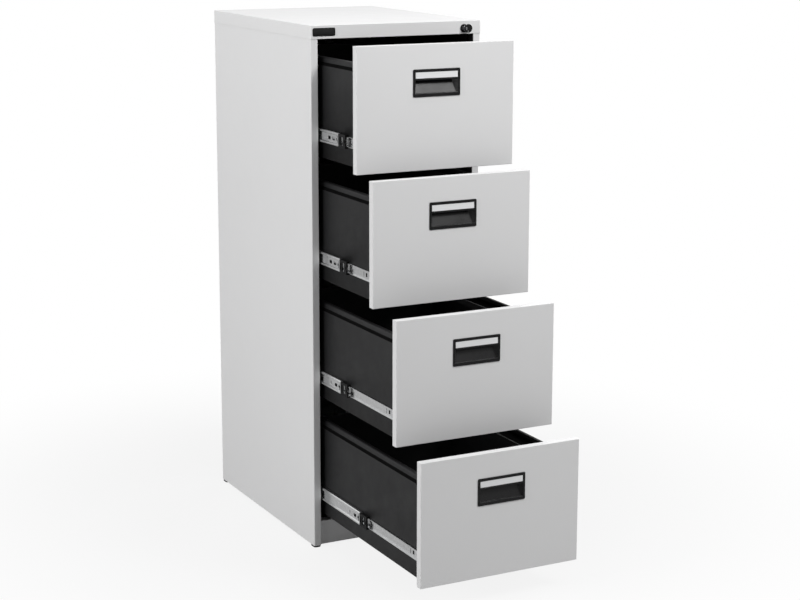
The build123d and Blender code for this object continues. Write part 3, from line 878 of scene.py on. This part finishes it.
@dataclass
class Drawer:
    """One drawer with its front, handle, tray, file bar and slides."""

    shop: Workshop
    number: int
    front_edge: float = 0.5 * MM
    handle_edge: float = 0.8 * MM
    edge_steps: int = 3
    slide_edge: float = 0.25 * MM
    rivet_radius: float = 3.2 * MM
    rivet_height: float = 0.9 * MM
    rivet_places: tuple[float, ...] = (0.62, 0.9)
    bar_below_rim: float = 3.0 * MM
    # Depths below the rim between which the fold gets painted shade.
    fold_below_rim: tuple[float, float] = (19.8 * MM, 12.0 * MM)
    wall_set: float = 9.0 * MM
    fold_in: float = 5.0 * MM
    end_sheet: float = 1.0 * MM
    facing_out: float = 0.5
    web: float = 1.2 * MM

    def name(self, piece: str) -> str:
        """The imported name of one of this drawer's pieces."""
        return f"{piece}_{self.number}"

    def build(self) -> None:
        """Dresses every piece of the drawer."""
        steps = self.edge_steps
        self.shop.round_edges(self.name("drawer_front"), LIGHT_COAT, self.front_edge, steps)
        self.shop.round_edges(self.name("drawer_handle"), PLASTIC, self.handle_edge, steps)
        self.shop.dress(self.name("drawer_label_card"), CARD)
        self.tray()
        self.shop.dress(self.name("drawer_file_bar"), MATT_BLACK)
        self.shop.round_edges(self.name("middle_slides"), ZINC, self.slide_edge)
        self.shop.round_edges(self.name("inner_slides"), ZINC, self.slide_edge)
        self.shop.round_edges(self.name("slide_bumpers"), DULL_PLASTIC, self.slide_edge)
        for node in ("outer_ball_cages", "inner_ball_cages"):
            self.shop.dress(self.name(node), ZINC)
        self.rivets()

    def tray(self) -> None:
        """Replaces the tray by a copy whose outward faces on the fold under the rim get painted
        shade.
        """
        node = self.name("drawer_tray")
        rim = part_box(self.name("drawer_file_bar"))[1][2] + self.bar_below_rim
        low, high = (rim - drop for drop in self.fold_below_rim)
        shape = self.shop.copy(node)
        for height in (low, high):
            whole = [*shape.verts, *shape.edges, *shape.faces]
            bmesh.ops.bisect_plane(shape, geom=whole, plane_co=(0, 0, height), plane_no=(0, 0, 1))
        piece = self.shop.link(f"{node}_fold_painted_shade", shape)
        self.shop.smooth(piece)
        self.shop.finish_piece(piece, self.shop.body[node], BLACK_COAT, node)
        # The second material is the painted shade for the fold under the rim; the faces picked
        # below get it.
        piece.data.materials.append(self.shop.materials[PAINTED_FOLD_SHADE])
        near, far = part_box(node)
        for polygon in piece.data.polygons:
            x, y, z = polygon.center
            outward = polygon.normal.x * math.copysign(1.0, x)
            on_fold = low < z < high and abs(x) > far[0] - self.wall_set - self.fold_in
            between = near[1] + self.end_sheet < y < far[1] - self.end_sheet
            if on_fold and between and outward > self.facing_out:
                polygon.material_index = 1

    def rivets(self) -> None:
        """Sets rivet heads where the inner slides are fixed to the tray."""
        low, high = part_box(self.name("inner_slides"))
        length = high[1] - low[1]
        middle = (low[2] + high[2]) / 2
        plate_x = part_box(self.name("drawer_tray"))[1][0]
        rows = []
        for side in Side:
            seat = (plate_x - self.wall_set + self.web) * side.value
            for share in self.rivet_places:
                rows.append(
                    HeadRow(
                        count=1,
                        start=(seat, low[1] + share * length, middle),
                        step=(0, 0, 0),
                        radius=self.rivet_radius,
                        height=self.rivet_height,
                        turn=(0, math.pi / 2, 0),
                    )
                )
        self.shop.heads(self.name("tray_rivets"), f"drawer_{self.number}", ZINC, rows)


@dataclass(frozen=True)
class PhotoCamera:
    """The camera as solved from the picture, with its angles in degrees."""

    image: tuple[int, int] = (800, 600)
    focal_px: float = 1854.5
    centre_px: tuple[float, float] = (428.0, 272.0)
    yaw: float = 28.15
    pitch: float = 11.68
    roll: float = 0.28
    place: tuple[float, float, float] = (-2.0954, -4.3931, 1.6440)
    sensor: float = 36.0
    sees_to: float = 100.0

    def build(self) -> None:
        """Places the camera and makes it the scene's own."""
        data = bpy.data.cameras.new("photo_camera")
        data.sensor_width = self.sensor
        data.lens = self.focal_px / self.image[0] * self.sensor
        data.shift_x = (self.image[0] / 2 - self.centre_px[0]) / self.image[0]
        data.shift_y = (self.centre_px[1] - self.image[1] / 2) / self.image[0]
        data.clip_end = self.sees_to
        camera = bpy.data.objects.new("photo_camera", data)
        bpy.context.scene.collection.objects.link(camera)
        yaw, pitch, roll = (math.radians(a) for a in (self.yaw, self.pitch, self.roll))
        ahead = Vector(
            (math.sin(yaw) * math.cos(pitch), math.cos(yaw) * math.cos(pitch), -math.sin(pitch))
        )
        right = Vector((math.cos(yaw), -math.sin(yaw), 0))
        above = right.cross(ahead)
        level = math.cos(roll) * right + math.sin(roll) * above
        upright = math.cos(roll) * above - math.sin(roll) * right
        turn = Matrix((level, upright, -ahead)).transposed().to_4x4()
        camera.matrix_world = Matrix.Translation(self.place) @ turn
        bpy.context.scene.camera = camera
        log.info("camera: lens %.1f mm", data.lens)


@dataclass(frozen=True)
class Lamp:
    """One soft box."""

    name: str
    place: tuple[float, float, float]
    aim: tuple[float, float, float]
    size: tuple[float, float]
    watts: float


@dataclass
class Studio:
    """Pale floor, white surroundings and soft boxes."""

    ambient: float = 0.14
    floor_half: float = 12.0
    floor_colour: tuple[float, float, float, float] = (0.45, 0.45, 0.45, 1)
    floor_white: float = 0.86
    floor_in_mirrors: float = 0.35
    floor_roughness: float = 0.9
    shadow_from: float = 0.5
    shadow_radius: float = 1.6
    lamps: tuple[Lamp, ...] = (
        Lamp("top_box", (-0.4, -0.6, 3.4), (0, 0, 0.6), (2.0, 2.0), 27),
        Lamp("high_front_box", (0.1, -2.5, 3.2), (0, -0.4, 0.9), (1.4, 1.4), 14),
        Lamp("front_right_box", (1.5, -2.9, 3.4), (0, -0.6, 1.0), (1.3, 1.3), 103),
        Lamp("left_box", (-4.4, -0.5, 2.0), (0, 0, 0.8), (2.4, 2.4), 145),
        Lamp("back_box", (4.0, 2.6, 2.6), (0, 0, 0.7), (2.4, 2.4), 78),
    )

    def build(self) -> None:
        """Sets up the world, the floor and the lamps."""
        bpy.context.scene.view_settings.view_transform = "Standard"
        self.world()
        self.floor()
        for lamp in self.lamps:
            self.soft_box(lamp)

    def seen(self, tree: Tree, mirrored: float) -> bpy.types.NodeSocket:
        """Tells the rays that show the background from those that only light the cabinet.

        Args:
            tree: The material's or the world's tree.
            mirrored: How much of the background shows in shiny pieces.

        Returns:
            1 for the camera's rays and rays through glass, the share for mirrored ones.
        """
        path = tree.add("ShaderNodeLightPath")
        glossy = tree.math("MULTIPLY", path.outputs["Is Glossy Ray"], mirrored)
        rays = tree.math("MAXIMUM", path.outputs["Is Camera Ray"], glossy)
        return tree.math("MAXIMUM", rays, path.outputs["Is Transmission Ray"])

    def world(self) -> None:
        """Lights evenly from all round and shows plain white behind the cabinet."""
        world = bpy.data.worlds.new("studio")
        world.use_nodes = True
        bpy.context.scene.world = world
        tree = Tree(world.node_tree)
        sky = next(n for n in tree.tree.nodes if n.type == "BACKGROUND")
        share = tree.math("MULTIPLY", self.seen(tree, 1.0), 1.0 - self.ambient)
        sky.inputs["Color"].default_value = (1, 1, 1, 1)
        tree.join(tree.math("ADD", share, self.ambient), sky.inputs["Strength"])

    def floor(self) -> None:
        """Lays the floor, which isn't part of the cabinet."""
        shape = bmesh.new()
        half = self.floor_half
        square = ((-half, -half), (half, -half), (half, half), (-half, half))
        shape.faces.new([shape.verts.new((x, y, 0)) for x, y in square])
        mesh = bpy.data.meshes.new("studio_floor")
        shape.to_mesh(mesh)
        shape.free()
        piece = bpy.data.objects.new("studio_floor", mesh)
        bpy.context.scene.collection.objects.link(piece)
        mesh.materials.append(self.floor_finish())

    def floor_finish(self) -> bpy.types.Material:
        """Makes a pale floor that keeps a soft shadow near the cabinet.

        Returns:
            The new material.
        """
        made = bpy.data.materials.new("pale_floor")
        made.use_nodes = True
        tree = Tree(made.node_tree)
        surface = next(n for n in tree.tree.nodes if n.type == "BSDF_PRINCIPLED")
        out = next(n for n in tree.tree.nodes if n.type == "OUTPUT_MATERIAL")
        surface.inputs["Base Color"].default_value = self.floor_colour
        surface.inputs["Roughness"].default_value = self.floor_roughness
        surface.inputs["Specular IOR Level"].default_value = 0.0
        glow = tree.add("ShaderNodeEmission")
        where = tree.add("ShaderNodeTexCoord").outputs["Object"]
        far = tree.add("ShaderNodeVectorMath", operation="LENGTH")
        tree.join(where, far.inputs[0])
        spread = tree.add("ShaderNodeMapRange", interpolation_type="SMOOTHSTEP")
        tree.join(far.outputs["Value"], spread.inputs["Value"])
        spread.inputs["From Min"].default_value = self.shadow_from
        spread.inputs["From Max"].default_value = self.shadow_radius
        spread.inputs["To Min"].default_value = self.floor_white
        spread.inputs["To Max"].default_value = 1.0
        amount = self.seen(tree, self.floor_in_mirrors)
        amount = tree.math("MULTIPLY", amount, spread.outputs["Result"])
        blend = tree.add("ShaderNodeMixShader")
        tree.join(amount, blend.inputs[0])
        tree.join(surface.outputs[0], blend.inputs[1])
        tree.join(glow.outputs[0], blend.inputs[2])
        tree.join(blend.outputs[0], out.inputs["Surface"])
        return made

    def soft_box(self, lamp: Lamp) -> None:
        """Hangs one soft box and aims it.

        Args:
            lamp: The soft box.
        """
        data = bpy.data.lights.new(lamp.name, "AREA")
        data.shape = "RECTANGLE"
        data.size, data.size_y = lamp.size
        data.energy = lamp.watts
        light = bpy.data.objects.new(lamp.name, data)
        bpy.context.scene.collection.objects.link(light)
        aim = Vector(lamp.aim) - Vector(lamp.place)
        turn = aim.to_track_quat("-Z", "Y").to_matrix().to_4x4()
        light.matrix_world = Matrix.Translation(lamp.place) @ turn


def main() -> None:
    """Builds the cabinet's looks, the studio and the camera."""
    logging.basicConfig(level=logging.INFO, format="%(name)s %(message)s")
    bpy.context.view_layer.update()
    shop = Workshop()
    PhotoCamera().build()
    Studio().build()
    Carcass(shop).build()
    Lock(shop).build()
    for number in DRAWER_NUMBERS:
        Drawer(shop, number).build()


if __name__ == "__main__":
    main()
